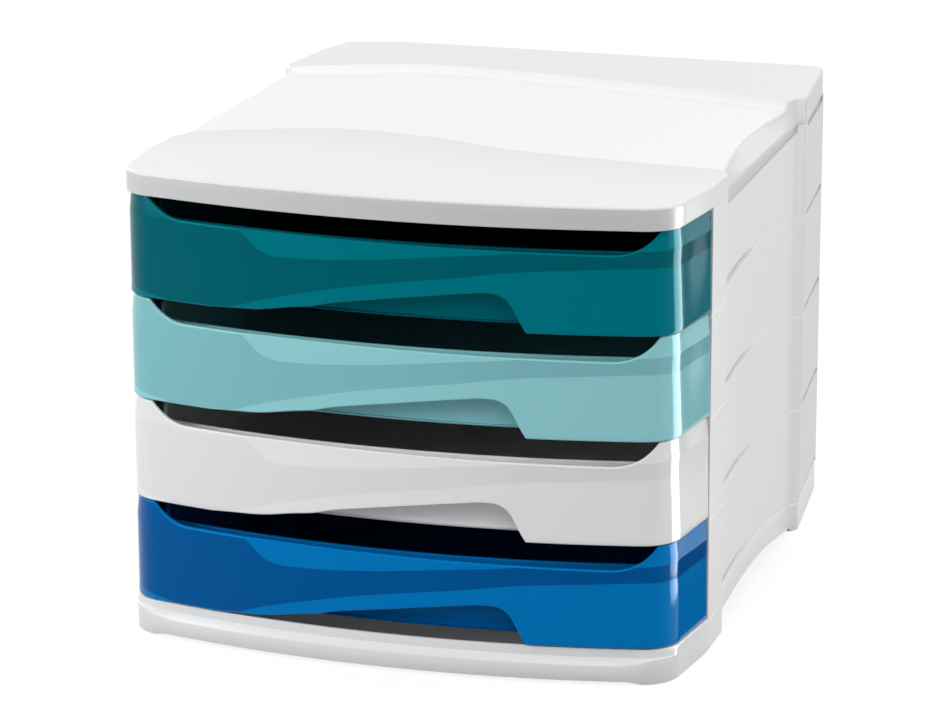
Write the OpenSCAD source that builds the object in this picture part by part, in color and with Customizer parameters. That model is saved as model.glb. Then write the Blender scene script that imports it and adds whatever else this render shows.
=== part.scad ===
// Desk-top drawer tower with a bow front: a plinth, four housing levels made of side
// cheeks, shelves and rear panels, four sliding drawers with clipped-on fronts, and a
// roof. The origin is the middle of the footprint on the desk. +Z is up and the drawers
// pull out along -Y. Levels are counted from the top, so drawer 1 is the highest.

/* [Body] */
// Width over the side cheeks
body_w = 288; // [280:1:300]
// Depth from the roof's front edge to the rear panels
body_d = 350; // [340:1:370]
// How far the middle of the bowed front stands ahead of its ends
front_bow = 20; // [16:0.5:24]
// Radius of the two front corners, seen from above
corner_r = 20.5; // [18:0.5:26]
// Angle in degrees by which the drawer fronts' side returns flare out to the rear
return_flare = 7; // [4:0.5:10]
// Wall thickness of the housing parts
wall = 2.4; // [2:0.1:3]

/* [Housing levels] */
// Height of one drawer level
level_h = 51.7; // [48:0.1:60]
// Front-to-back length of each drawer front's side return
return_len = 68; // [62:1:76]
// Front-to-back length of the front column of the cheeks
column_len = 31; // [26:1:40]
// How far a cheek's tab reaches forward inside the drawer front's return
tab_len = 18; // [12:1:24]
// How far the middle panel of a cheek stands in from the columns
panel_inset = 3.5; // [2:0.5:5]
// Length of the slopes between the panel and the columns
panel_slope = 4.5; // [3:0.5:8]
// Front-to-back length of the rear column
rear_column_len = 79; // [70:1:90]
// How far the rear column draws in towards its rear edge
rear_taper = 8; // [4:0.5:12]
// Rise of the arched seam between the side panels of two levels
seam_rise = 9.2; // [4:0.2:10]
// Length of the scoop above the front end of each seam
scoop_len = 70; // [50:1:110]
// Height of that scoop at its front end
scoop_h = 7; // [4:0.5:9]
// Height of the shadow gap under the roof at its front and rear ends
roof_scoop_h = [6.5, 3]; // [2:0.5:8]
// Depth of the scoops and grooves into the cheek
scoop_depth = 1.5; // [1:0.1:1.6]
// Height of the groove at the foot of each rear column
groove_h = 3; // [2:0.5:4]
// Thickness of a shelf
shelf_t = 2; // [1.8:0.1:2.6]
// Width of the ledge along a cheek's top that carries the shelf
ledge_w = 4; // [3:0.5:5]
// Height of the guide rails on a shelf
rail_h = 5; // [4:0.5:8]
// Width of one guide rail
rail_w = 1.6; // [1.2:0.1:1.8]

/* [Drawers] */
// Wall thickness of a drawer front
front_t = 2.6; // [2.2:0.1:3.2]
// Gap between one drawer front and the next
front_gap = 0.7; // [0.5:0.1:1.5]
// Depth of the dip along a front's top edge at its left end
dip_left = 10; // [6:0.5:13]
// Depth of the dip at its right end
dip_right = 12; // [6:0.5:13]
// Rise of the wave-shaped finger cut-out in a front's lower edge
wave_rise = 18.6; // [12:0.2:22]
// Wall thickness of a tray
tray_t = 2; // [1.6:0.1:2.6]
// Height of a tray's side and rear walls
tray_h = 44; // [38:0.5:44]
// Height of a tray's front wall
tray_front_h = 37; // [30:0.5:37]
// Distance from the outer side of the body to the side of a tray
tray_side = 12.5; // [12.5:0.1:14]
// Extra distance that a tray's front wall stands back, for the fingers
grip_setback = 4.5; // [3:0.5:8]
// Gap between a tray's rear wall and the rear panel
tray_rear_gap = 4.6; // [3:0.2:10]
// How far a drawer pulls out
travel = 240; // [180:5:250]

/* [Plinth] */
// Height of the plinth up to the lowest drawer
plinth_h = 18.1; // [16:0.1:24]
// How far the plinth's lower fascia stands ahead of the drawer fronts
plinth_proud = 1.5; // [0.5:0.5:3]
// Height at which the fascia's bevel starts
bevel_low = 10.2; // [9:0.1:11]
// Height at which the bevel ends
bevel_high = 13; // [12:0.1:15]
// How far the upper strip stands back from the fascia
strip_back = 3; // [2:0.5:4]
// Clear height under the front and rear edges between the feet
edge_clear = 2; // [1.4:0.1:4]
// Rise of the arch along each side of the plinth
arch_rise = 10.5; // [6:0.5:12]
// Width of each foot of the plinth, in from the side of the body
foot_w = 23; // [20:1:30]
// Radius of the non-slip pads
pad_r = 9; // [6:0.5:10]
// Thickness of the non-slip pads
pad_t = 1.2; // [1:0.1:1.6]

/* [Roof] */
// How far the roof's fascia stands ahead of the drawer fronts
roof_proud = 3; // [1:0.5:4]
// Height of the roof's fascia
fascia_h = 12; // [10:0.5:14]
// Height of the rear part of the roof above the top of the drawers
roof_rear_h = 13.5; // [12:0.5:16]
// Depth of the shallow tray in the roof, below its rear part
roof_recess = 5.2; // [3:0.2:6]
// Drop of the front part of the roof from its front edge to the tray
roof_fall = 2; // [0:0.5:3]

/* [Fits] */
// Running gap between a tray and what it slides on
slide_gap = 0.3; // [0.3:0.1:0.8]
// Running gap beside a tray and inside a front's return
side_gap = 0.5; // [0.4:0.1:0.8]
// Gap between a drawer front's return and the front column
return_gap = 0.8; // [0.6:0.1:1.5]

/* [Hidden] */
$fn = 96;
bow_fn = 720;
white = "#f1f1f1";
front_colours = ["#00707a", "#8cc3c8", "#f3f3f3", "#00589a"];
tray_colours = ["#005e68", "#7cb4ba", "#e6e6e6", "#004c88"];

// Plan of the front: a bow arc, and on each side a corner arc and a straight return that
// flares out until it reaches the full width at return_end
half_w = body_w / 2;
rear_y = body_d / 2;
front_y = -body_d / 2 + roof_proud;
return_end = front_y + return_len;
bow_r = (half_w * half_w + front_bow * front_bow) / (2 * front_bow);
bow_cy = front_y + bow_r;

// The corner arc's centre lies corner_r inside the return. It is found by going forward
// along the return, from its end, as far as the point that is corner_r inside the bow.
start_x = half_w - corner_r * cos(return_flare);
start_y = return_end + corner_r * sin(return_flare) - bow_cy;
start_reach = start_x * sin(return_flare) + start_y * cos(return_flare);
start_gap = start_x * start_x + start_y * start_y - pow(bow_r - corner_r, 2);
corner_run = start_reach + sqrt(start_reach * start_reach - start_gap);
corner_cx = start_x - corner_run * sin(return_flare);
corner_cy = bow_cy + start_y - corner_run * cos(return_flare);
bow_end = asin(corner_cx / (bow_r - corner_r));

// Side stations, front to back
column_start = return_end + return_gap;
column_end = column_start + column_len;
panel_start = column_end + panel_slope;
rear_column_start = rear_y - rear_column_len;
panel_end = rear_column_start - panel_slope;
panel_x = half_w - panel_inset;

// Levels: level n counts from the top, and its number of levels below is 4 - n
levels = 4;
function drawer_z(n) = plinth_h + (levels - n) * level_h;
shelf_drop = shelf_t + slide_gap;
function housing_z(n) = drawer_z(n) - shelf_drop;
roof_seat_z = housing_z(0);
front_h = level_h - front_gap;

// Roof heights
fascia_z = drawer_z(1) + front_h + slide_gap;
roof_top_z = fascia_z + roof_rear_h;
roof_front_z = fascia_z + fascia_h;
roof_tray_z = roof_top_z - roof_recess;

// Tray
tray_half_w = half_w - tray_side;
tray_rear_y = rear_y - wall - tray_rear_gap;
lug_half_w = 40;
lug_gap = 0.6;
lug_top = level_h - shelf_drop - lug_gap;
stop_gap = 2;
stop_low = tray_h + stop_gap;
stop_y = tray_rear_y - tray_t - travel - side_gap;

// The two ribs that clip a front to its tray
clip_x = 96;
clip_t = 2;
clip_low = 8;
clip_h = 22;

// Overlap where two shapes of one solid join, and run of a cutter past what it cuts
root = 0.5;
over = 1;

// Point on an arc around [x, y], seen at an angle from straight ahead
function arc_point(x, y, r, angle) = [x + r * sin(angle), y - r * cos(angle)];

// Place x of the flared return at a place y, drawn in by inset
function return_x(y, inset) =
    half_w - (return_end - y) * tan(return_flare) - inset / cos(return_flare);

// Plan of the bowed front, drawn in by inset, up to the line y = rear
bow_steps = 24;
corner_steps = 16;
module bow_plan(inset, rear) {
    corner_end = 90 - return_flare;
    right = concat(
        [for (i = [0 : bow_steps])
            arc_point(0, bow_cy, bow_r - inset, bow_end * i / bow_steps)],
        [for (i = [1 : corner_steps])
            arc_point(corner_cx, corner_cy, corner_r - inset,
                      bow_end + (corner_end - bow_end) * i / corner_steps)],
        [[half_w - inset, return_end + inset * tan(return_flare / 2)],
         [half_w - inset, rear]]);
    left = [for (i = [len(right) - 1 : -1 : 1]) [-right[i][0], right[i][1]]];
    polygon(concat(right, left));
}

// Plan of the sides behind the front columns, drawn in by inset
module side_plan(inset, rear) {
    right = [[half_w, return_end], [half_w, column_end], [panel_x, panel_start],
             [panel_x, panel_end], [half_w, rear_column_start],
             [half_w - rear_taper, rear_y]];
    points = [for (p = right) [p[0] - inset, min(p[1], rear)]];
    mirrored = [for (i = [len(points) - 1 : -1 : 0]) [-points[i][0], points[i][1]]];
    polygon(concat(points, mirrored));
}

// Whole outline of the body, with its front moved ahead by proud
module body_plan(inset, proud, rear) {
    translate([0, -proud]) bow_plan(inset, column_end + proud);
    side_plan(inset, rear);
}

// A solid drawn in the X-Z plane and run along Y from y0 to y1
module along_y(y0, y1) {
    translate([0, y1, 0]) rotate([90, 0, 0]) linear_extrude(y1 - y0) children();
}

// A solid drawn in the Y-Z plane and run along X from x0 to x1
module along_x(x0, x1) {
    translate([x0, 0, 0]) rotate([90, 0, 90]) linear_extrude(x1 - x0) children();
}

// Place y of the bow at a place x across it, drawn in by inset
function bow_y(x, inset) = bow_cy - sqrt(pow(bow_r - inset, 2) - x * x);
function tray_face_y(x) = bow_y(x, tray_side) + grip_setback;

// Smooth step from 0 to 1
function ease(t) = t * t * (3 - 2 * t);

// ---- Drawer front ----

// The dip in the top edge: where it falls at the left, and where it rises at the right
dip_steps = 8;
dip_left_x = [-129, -108];
dip_right_x = [108, 133];
function dip_z(depth, t) = front_h - depth * ease(t);
function dip_outline() = concat(
    [for (i = [0 : dip_steps])
        [dip_left_x[0] + (dip_left_x[1] - dip_left_x[0]) * i / dip_steps,
         dip_z(dip_left, i / dip_steps)]],
    [for (i = [0 : dip_steps])
        [dip_right_x[0] + (dip_right_x[1] - dip_right_x[0]) * i / dip_steps,
         dip_z(dip_right, 1 - i / dip_steps)]],
    [[dip_right_x[1], front_h + over], [dip_left_x[0], front_h + over]]);

// The finger cut-out: a long rising wave that ends in a rounded shoulder
wave_left_x = -64;
wave_peak_x = 54;
wave_right_x = 70;
wave_steps = 14;
wave_power = 1.25;
function wave_outline() = concat(
    [[wave_left_x, -over]],
    [for (i = [0 : wave_steps])
        [wave_left_x + (wave_peak_x - wave_left_x) * i / wave_steps,
         wave_rise * pow(sin(90 * i / wave_steps), wave_power)]],
    [for (i = [1 : dip_steps])
        [wave_peak_x + (wave_right_x - wave_peak_x) * i / dip_steps,
         wave_rise * (1 - ease(i / dip_steps))]],
    [[wave_right_x, -over]]);

module front_ring(height) {
    linear_extrude(height) difference() {
        bow_plan(0, return_end);
        bow_plan(front_t, return_end + over);
    }
}

module drawer_front(n) {
    color(front_colours[n - 1]) translate([0, 0, drawer_z(n)]) {
        difference() {
            front_ring(front_h);
            along_y(front_y - over, corner_cy) polygon(dip_outline());
            along_y(front_y - over, corner_cy) polygon(wave_outline());
        }
        clip_front_y = bow_y(clip_x, front_t / 2);
        for (side = [-1, 1])
            translate([side * clip_x - clip_t / 2, clip_front_y, clip_low])
                cube([clip_t, tray_face_y(clip_x - clip_t / 2) - clip_front_y, clip_h]);
    }
}

// ---- Drawer tray ----

module tray_plan(inset) {
    translate([0, grip_setback])
        bow_plan(tray_side + inset, tray_rear_y - grip_setback - inset);
}

module drawer_tray(n) {
    color(tray_colours[n - 1]) translate([0, 0, drawer_z(n)]) {
        difference() {
            linear_extrude(tray_h) tray_plan(0);
            translate([0, 0, tray_t]) linear_extrude(tray_h) tray_plan(tray_t);
            translate([-half_w, front_y, tray_front_h])
                cube([body_w, corner_cy - front_y, tray_h]);
        }
        translate([-lug_half_w, tray_rear_y - tray_t, tray_h - root])
            cube([2 * lug_half_w, tray_t, lug_top - tray_h + root]);
    }
}

// ---- Housing ----

// Plan of one cheek: a thin wall that follows the outline of the side, with a tab at its
// front that lies along the inside of the drawer front's return
tab_inset = front_t + side_gap;
tab_start = column_start - tab_len;
module cheek_plan() {
    tab_rear = column_start + wall;
    outer = [[return_x(tab_start, tab_inset), tab_start],
             [return_x(column_start, tab_inset), column_start], [half_w, column_start],
             [half_w, column_end], [panel_x, panel_start], [panel_x, panel_end],
             [half_w, rear_column_start], [half_w - rear_taper, rear_y - wall]];
    inner = [[half_w - rear_taper - wall, rear_y - wall],
             [half_w - wall, rear_column_start + wall],
             [panel_x - wall, panel_end + wall], [panel_x - wall, panel_start - wall],
             [half_w - 2 * wall, column_end - wall], [half_w - 2 * wall, tab_rear],
             [return_x(tab_rear, tab_inset + wall), tab_rear],
             [return_x(tab_start, tab_inset + wall), tab_start]];
    polygon(concat(outer, inner));
}

// The arched seam of the side panels, as a height above the seam at their ends
seam_steps = 12;
function seam_y(i) = panel_start + (panel_end - panel_start) * i / seam_steps;
function seam_curve(z) = [for (i = [0 : seam_steps])
    [seam_y(i), z + seam_rise * sin(180 * i / seam_steps)]];
function seam_outline(z) = concat([[panel_start, z - root]], seam_curve(z),
                                  [[panel_end, z - root]]);

// The scoop above a seam: a crescent, high at the front and gone at the rear
scoop_steps = 8;
function scoop_y(i) = panel_start + scoop_len * i / scoop_steps;
function scoop_seam_z(i) =
    seam_rise * sin(180 * scoop_len / (panel_end - panel_start) * i / scoop_steps);
function scoop_outline(z) = concat(
    [for (i = [0 : scoop_steps]) [scoop_y(i), z + scoop_seam_z(i) - root]],
    [for (i = [scoop_steps : -1 : 0])
        [scoop_y(i), z + scoop_seam_z(i) + scoop_h * (1 - pow(i / scoop_steps, 2))]]);

// The groove round the foot of the rear column
groove_inset = 10;
function rear_column_x(y) = half_w - rear_taper * (y - rear_column_start) / rear_column_len;
module groove_plan() {
    start = rear_column_start + groove_inset;
    polygon([[rear_column_x(start) - scoop_depth, start],
             [rear_column_x(start) + over, start], [rear_column_x(rear_y) + over, rear_y],
             [rear_column_x(rear_y) - scoop_depth, rear_y]]);
}

module cheek(n, side) {
    low = housing_z(n);
    high = low + level_h;
    color(white) mirror([side < 0 ? 1 : 0, 0, 0]) {
        difference() {
            union() {
                translate([0, 0, low]) linear_extrude(level_h) cheek_plan();
                if (n > 1)
                    along_x(panel_x - wall, panel_x) polygon(seam_outline(high));
            }
            along_x(panel_x - wall - over, half_w + over) polygon(seam_outline(low));
            along_x(panel_x - scoop_depth, half_w + over) polygon(scoop_outline(low));
            if (n == 1)
                along_x(panel_x - scoop_depth, half_w + over)
                    polygon([[panel_start, high - roof_scoop_h[0]], [panel_start, high + over],
                             [panel_end, high + over], [panel_end, high - roof_scoop_h[1]]]);
            translate([0, 0, low - over]) linear_extrude(groove_h + over) groove_plan();
        }
        translate([panel_x - wall - ledge_w, panel_start, high - shelf_t])
            cube([ledge_w + root, panel_end - panel_start, shelf_t]);
    }
}

// Plan of a shelf: its front edge is hidden behind the drawer fronts, and its sides stay
// clear of the tabs and run along the inside of the panels
shelf_gap = 0.2;
shelf_front_y = front_y + 22;
shelf_front_x = corner_cx + corner_r / 2;
module shelf_plan() {
    inner = panel_x - wall - shelf_gap;
    taper_end = half_w - rear_taper - wall - shelf_gap;
    taper_start_y = rear_y - rear_column_len / 2;
    right = [[shelf_front_x, shelf_front_y],
             [return_x(corner_cy, tab_inset + wall + shelf_gap), corner_cy],
             [inner, panel_start], [inner, taper_start_y], [taper_end, rear_y - wall]];
    mirrored = [for (i = [len(right) - 1 : -1 : 0]) [-right[i][0], right[i][1]]];
    polygon(concat(right, mirrored));
}

// Guide rails on a shelf whose top is at z = 0
rail_end_gap = 8;
module rails() {
    for (side = [-1, 1])
        translate([side * (tray_half_w + side_gap + rail_w / 2) - rail_w / 2,
                   corner_cy, -root])
            cube([rail_w, rear_y - wall - rail_end_gap - corner_cy, rail_h + root]);
}

// Stop rib that catches a tray's rear lug; top is what it hangs from
module stop_rib(low, top) {
    translate([-lug_half_w, stop_y - tray_t, low])
        cube([2 * lug_half_w, tray_t, top - low]);
}

// Shelf n lies between drawer n and the drawer below it
module shelf(n) {
    color(white) {
        translate([0, 0, housing_z(n)]) linear_extrude(shelf_t) shelf_plan();
        translate([0, 0, housing_z(n) + shelf_t]) rails();
        stop_rib(drawer_z(n + 1) + stop_low, housing_z(n) + root);
    }
}

module rear_panel(n) {
    color(white)
        translate([-(half_w - rear_taper), rear_y - wall, housing_z(n)])
            cube([2 * (half_w - rear_taper), wall, level_h]);
}

// ---- Plinth ----

// The arch along each side starts a step above the front foot
arch_steps = 12;
arch_step = 6;
arch_mean = (arch_step + edge_clear) / 2;
function arch_z(t) = arch_step * (1 - t) + edge_clear * t
    + (arch_rise - arch_mean) * sin(180 * t);
function arch_outline() = concat(
    [[panel_start, -over]],
    [for (i = [0 : arch_steps])
        [panel_start + (panel_end - panel_start) * i / arch_steps,
         arch_z(i / arch_steps)]],
    [[panel_end, -over]]);

// The bevel and the set-back strip above the fascia, between the two corners
module fascia_cut() {
    strip_r = bow_r - strip_back;
    bevel_start = bevel_low - over * (bevel_high - bevel_low) / strip_back;
    intersection() {
        translate([0, bow_cy - plinth_proud, 0]) rotate_extrude($fn = bow_fn)
            polygon([[bow_r + over, bevel_start], [strip_r, bevel_high],
                     [strip_r, plinth_h], [bow_r + over, plinth_h]]);
        translate([-corner_cx, front_y - plinth_proud - over, 0])
            cube([2 * corner_cx, corner_cy - front_y, plinth_h]);
    }
}

skirt_low = pad_t / 2;
seat_z = housing_z(levels);
deck_top = plinth_h - slide_gap;
band_top = plinth_h - front_gap;
foot_reach = half_w - foot_w;
boss_r = pad_r + 1;

// Middles of the pads: front ones in the corners, rear ones inside the tapered columns
pad_x = half_w - 22.5;
pad_front_y = corner_cy - 6;
pad_rear_x = half_w - 25;
pad_rear_y = rear_y - 22;

module at_pad(side, front) {
    translate([side * (front ? pad_x : pad_rear_x), front ? pad_front_y : pad_rear_y, 0])
        children();
}

// The band ahead of the cheeks that rises to just under the lowest drawer front
module front_band_plan() {
    difference() {
        translate([0, -plinth_proud]) bow_plan(0, return_end + plinth_proud);
        bow_plan(front_t + side_gap, return_end + over);
    }
}

module plinth() {
    color(white) {
        difference() {
            union() {
                translate([0, 0, skirt_low]) linear_extrude(seat_z - skirt_low)
                    body_plan(0, plinth_proud, rear_y);
                translate([0, 0, seat_z - root])
                    linear_extrude(band_top - seat_z + root) front_band_plan();
                for (side = [-1, 1])
                    along_x(side * (panel_x - wall / 2) - wall / 2,
                            side * (panel_x - wall / 2) + wall / 2)
                        polygon(seam_outline(seat_z));
            }
            translate([0, 0, -over]) linear_extrude(seat_z - shelf_t + over)
                body_plan(wall, plinth_proud - strip_back, rear_y - wall);
            fascia_cut();
            translate([-foot_reach, -body_d, -over])
                cube([2 * foot_reach, 2 * body_d, edge_clear + over]);
            along_x(-half_w - over, half_w + over) polygon(arch_outline());
        }
        translate([0, 0, seat_z - root])
            linear_extrude(deck_top - seat_z + root) shelf_plan();
        translate([0, 0, deck_top]) rails();
        for (side = [-1, 1], front = [true, false])
            at_pad(side, front) translate([0, 0, pad_t])
                cylinder(r = boss_r, h = seat_z - shelf_t - pad_t + root);
    }
}

module pad(side, front) {
    color("#3a3a3c") at_pad(side, front) cylinder(r = pad_r, h = pad_t);
}

// ---- Roof ----

// Wavy edges of the roof's shallow tray, as a place y for each x
crest_x = -60;
front_edge_y = column_end + 2;
front_edge_wave = 35;
front_edge_len_left = 62;
front_edge_len_right = 88;
rear_edge_y = rear_column_start - 15;
rear_edge_wave = 38;
rear_edge_fall_left = 26;
rear_edge_power = 1.5;
edge_steps = 20;
function edge_x(i) = -half_w - over + 2 * (half_w + over) * i / edge_steps;
function front_len(x) = x < crest_x ? front_edge_len_left : front_edge_len_right;
function front_edge(x) = front_edge_y
    + front_edge_wave * exp(-pow((x - crest_x) / front_len(x), 2));
function rear_fall(x) = x < crest_x
    ? rear_edge_fall_left * pow((crest_x - x) / (half_w + crest_x), rear_edge_power)
    : rear_edge_wave * pow(max(x - crest_x, 0) / (half_w - crest_x), rear_edge_power);
function rear_edge(x) = rear_edge_y + rear_edge_wave - rear_fall(x);

module roof_tray_plan() {
    polygon(concat(
        [for (i = [0 : edge_steps]) [edge_x(i), front_edge(edge_x(i))]],
        [for (i = [edge_steps : -1 : 0]) [edge_x(i), rear_edge(edge_x(i))]]));
}

// The space above the sloping front part of the roof
module roof_front_cut() {
    intersection() {
        along_x(-half_w - over, half_w + over)
            polygon([[-rear_y - over, roof_front_z], [-rear_y, roof_front_z],
                     [column_end, roof_front_z - roof_fall],
                     [rear_y, roof_front_z - roof_fall], [rear_y, roof_top_z + over],
                     [-rear_y - over, roof_top_z + over]]);
        linear_extrude(roof_top_z + 2 * over) polygon(concat(
            [for (i = [0 : edge_steps]) [edge_x(i), rear_edge(edge_x(i))]],
            [[half_w + over, -body_d], [-half_w - over, -body_d]]));
    }
}

module roof_cover() {
    color(white) {
        difference() {
            union() {
                translate([0, 0, fascia_z]) linear_extrude(roof_top_z - fascia_z)
                    body_plan(0, roof_proud, rear_y);
                translate([0, 0, roof_seat_z])
                    linear_extrude(fascia_z - roof_seat_z + root) intersection() {
                        side_plan(0, rear_y);
                        translate([-half_w, column_start])
                            square([body_w, rear_y - column_start]);
                    }
            }
            translate([0, 0, roof_seat_z - over])
                linear_extrude(roof_tray_z - wall - roof_seat_z + over)
                    body_plan(wall, roof_proud, rear_y - wall);
            roof_front_cut();
            translate([0, 0, roof_tray_z]) linear_extrude(roof_recess + over)
                roof_tray_plan();
        }
        stop_rib(drawer_z(1) + stop_low, roof_tray_z - wall + root);
    }
}

roof_cover();
plinth();
shelf(1);  // shelf_1
shelf(2);  // shelf_2
shelf(3);  // shelf_3
cheek(1, -1);  // left_cheek_1
cheek(2, -1);  // left_cheek_2
cheek(3, -1);  // left_cheek_3
cheek(4, -1);  // left_cheek_4
cheek(1, 1);  // right_cheek_1
cheek(2, 1);  // right_cheek_2
cheek(3, 1);  // right_cheek_3
cheek(4, 1);  // right_cheek_4
rear_panel(1);  // rear_panel_1
rear_panel(2);  // rear_panel_2
rear_panel(3);  // rear_panel_3
rear_panel(4);  // rear_panel_4
drawer_front(1);  // drawer_front_1
drawer_front(2);  // drawer_front_2
drawer_front(3);  // drawer_front_3
drawer_front(4);  // drawer_front_4
drawer_tray(1);  // drawer_tray_1
drawer_tray(2);  // drawer_tray_2
drawer_tray(3);  // drawer_tray_3
drawer_tray(4);  // drawer_tray_4
pad(-1, true);  // pad_front_left
pad(1, true);  // pad_front_right
pad(-1, false);  // pad_rear_left
pad(1, false);  // pad_rear_right
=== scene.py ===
# %% [markdown]
# # A desk-top drawer tower in moulded polystyrene
# The housing is white: a plinth, four levels of side cheeks and shelves, and a roof with a
# shallow tray. Four glossy drawers in teal, aqua, white and blue slide out to the front.
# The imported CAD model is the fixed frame. This script keeps its hidden pieces, gives them
# their plastic, and rebuilds the pieces that show with the soft edges and the sculpted
# facets of the real mouldings.

# %% Load the frame
import math

import bmesh
import bpy
import numpy as np
from mathutils import Matrix, Vector, geometry


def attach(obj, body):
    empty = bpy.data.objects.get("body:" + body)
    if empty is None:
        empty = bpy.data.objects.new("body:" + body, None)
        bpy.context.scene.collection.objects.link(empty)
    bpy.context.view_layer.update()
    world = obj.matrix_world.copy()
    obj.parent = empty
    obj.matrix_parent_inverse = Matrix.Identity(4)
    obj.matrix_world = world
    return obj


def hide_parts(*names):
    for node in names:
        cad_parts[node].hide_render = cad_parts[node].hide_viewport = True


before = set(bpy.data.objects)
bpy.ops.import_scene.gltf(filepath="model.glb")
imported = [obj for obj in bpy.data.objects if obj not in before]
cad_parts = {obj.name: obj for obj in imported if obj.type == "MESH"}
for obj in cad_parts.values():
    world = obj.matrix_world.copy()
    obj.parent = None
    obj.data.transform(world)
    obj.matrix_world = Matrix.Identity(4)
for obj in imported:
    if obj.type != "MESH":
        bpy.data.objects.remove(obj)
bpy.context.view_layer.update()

# %% [markdown]
# ## The view
# The photograph looks down at the tower from the right with a long lens. Fitting a camera to
# the edges in the photograph gave its direction, its distance and its lens, so the camera is
# placed by those numbers and no framing is needed afterwards.

# %% Camera
MM = 0.001
PHOTO_WIDTH_PX = 950
SENSOR_MM = 36.0
CAMERA_AZIMUTH = math.radians(17.24)
CAMERA_ELEVATION = math.radians(15.89)
CAMERA_ROLL = math.radians(0.123)
CAMERA_DISTANCE = 2037.9 * MM
CAMERA_TARGET = Vector((9.06, -52.0, 123.1)) * MM
FOCAL_LENGTH_PX = 4044.2

camera_data = bpy.data.cameras.new("camera")
camera_data.sensor_width = SENSOR_MM
camera_data.lens = FOCAL_LENGTH_PX / PHOTO_WIDTH_PX * SENSOR_MM
camera = bpy.data.objects.new("camera", camera_data)
bpy.context.collection.objects.link(camera)
back = Vector((math.sin(CAMERA_AZIMUTH) * math.cos(CAMERA_ELEVATION),
               -math.cos(CAMERA_AZIMUTH) * math.cos(CAMERA_ELEVATION),
               math.sin(CAMERA_ELEVATION)))
camera.location = CAMERA_TARGET + back * CAMERA_DISTANCE
turn = (-back).to_track_quat("-Z", "Y").to_matrix() @ Matrix.Rotation(-CAMERA_ROLL, 3, "Z")
camera.rotation_euler = turn.to_euler()
bpy.context.scene.camera = camera
print("lens", round(camera_data.lens, 1), "mm")

# %% [markdown]
# ## The plastics
# Every part is injection-moulded polystyrene. It comes out of a polished mould, so it has a
# high gloss, an IOR of 1.59 and a very slight waviness from cooling. A facet attribute on
# the mesh picks between a darker and a paler colour of each plastic. This is painted shade
# and painted highlight, standing in for how the real facets catch the light.

# %% Colour and node helpers
def linear(hex_colour):
    """Linear RGBA of an sRGB hex colour."""
    values = [int(hex_colour[i:i + 2], 16) / 255 for i in (1, 3, 5)]
    return tuple(v / 12.92 if v <= 0.04045 else ((v + 0.055) / 1.055) ** 2.4
                 for v in values) + (1.0,)


def add_node(tree, kind, settings=None, **links):
    """Add a node, set its properties and its inputs, and link the inputs that are sockets."""
    node = tree.nodes.new(kind)
    for key, value in (settings or {}).items():
        setattr(node, key, value)
    for key, value in links.items():
        socket = node.inputs[int(key[1:])] if key[1:].isdigit() else node.inputs[
            key.replace("_", " ")]
        if isinstance(value, bpy.types.NodeSocket):
            tree.links.new(value, socket)
        else:
            socket.default_value = value
    return node


def maths(tree, operation, *values, kind="Math", **settings):
    """Output of a Math node, or of a Vector Math node, that is given the values in order."""
    links = {f"i{i}": value for i, value in enumerate(values)}
    return add_node(tree, "ShaderNode" + kind, {"operation": operation, **settings},
                    **links).outputs[0]


def noise(tree, size_mm, detail=1.0, roughness=0.4):
    """Output of a noise of that pattern size, in the piece's own coordinates."""
    place = add_node(tree, "ShaderNodeTexCoord").outputs["Object"]
    return add_node(tree, "ShaderNodeTexNoise", Vector=place, Scale=1 / (size_mm * MM),
                    Detail=detail, Roughness=roughness).outputs["Fac"]


def new_material(name):
    """A new material with an empty node tree."""
    material = bpy.data.materials.new(name)
    material.use_nodes = True
    material.node_tree.nodes.clear()
    return material


# %% Moulded polystyrene
CLOUD_MM = 90.0
CLOUD_SHARE = 0.16
FLOW_MM = 34.0
GLOSS_SPREAD = 0.07
WAVE_MM = 16.0
WAVE_DEPTH_MM = 0.010


def polystyrene(name, deep, pale, roughness, specular=0.5, tint="#FFFFFF"):
    """Glossy moulded polystyrene. deep and pale are its painted shade and painted highlight
    colours.

    The melt's flow leaves soft clouds of tone and of gloss, and cooling leaves a waviness
    that only shows as a slight unrest in the reflections. The coloured plastics are a
    little clear, so part of what they mirror comes back from inside and takes their tint."""
    material = new_material(name)
    tree = material.node_tree
    facet = add_node(tree, "ShaderNodeAttribute", {"attribute_name": "facet"}).outputs["Fac"]
    cloud = maths(tree, "MULTIPLY_ADD", noise(tree, CLOUD_MM, 2.0, 0.5), CLOUD_SHARE,
                  -CLOUD_SHARE / 2)
    # Painted shade or highlight: the facet's tone, with the random cloud of tone added, picks
    # between the darker and the paler colour.
    painted_light_and_cloud = maths(tree, "ADD", facet, cloud, use_clamp=True)
    colour = add_node(tree, "ShaderNodeMix", {"data_type": "RGBA"}, i0=painted_light_and_cloud,
                      i6=linear(deep), i7=linear(pale))
    gloss = add_node(tree, "ShaderNodeMapRange", Value=noise(tree, FLOW_MM),
                     i3=roughness * (1 - GLOSS_SPREAD), i4=roughness * (1 + GLOSS_SPREAD))
    bump = add_node(tree, "ShaderNodeBump", Strength=1.0, Distance=WAVE_DEPTH_MM * MM,
                    Height=noise(tree, WAVE_MM))
    plastic = add_node(tree, "ShaderNodeBsdfPrincipled", Base_Color=colour.outputs[2],
                       Roughness=gloss.outputs[0], IOR=1.59, Normal=bump.outputs[0],
                       Specular_IOR_Level=specular, Specular_Tint=linear(tint))
    add_node(tree, "ShaderNodeOutputMaterial", Surface=plastic.outputs[0])
    return material


# Each plastic's first colour is its painted shade tone and its second its painted highlight
# tone.
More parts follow.
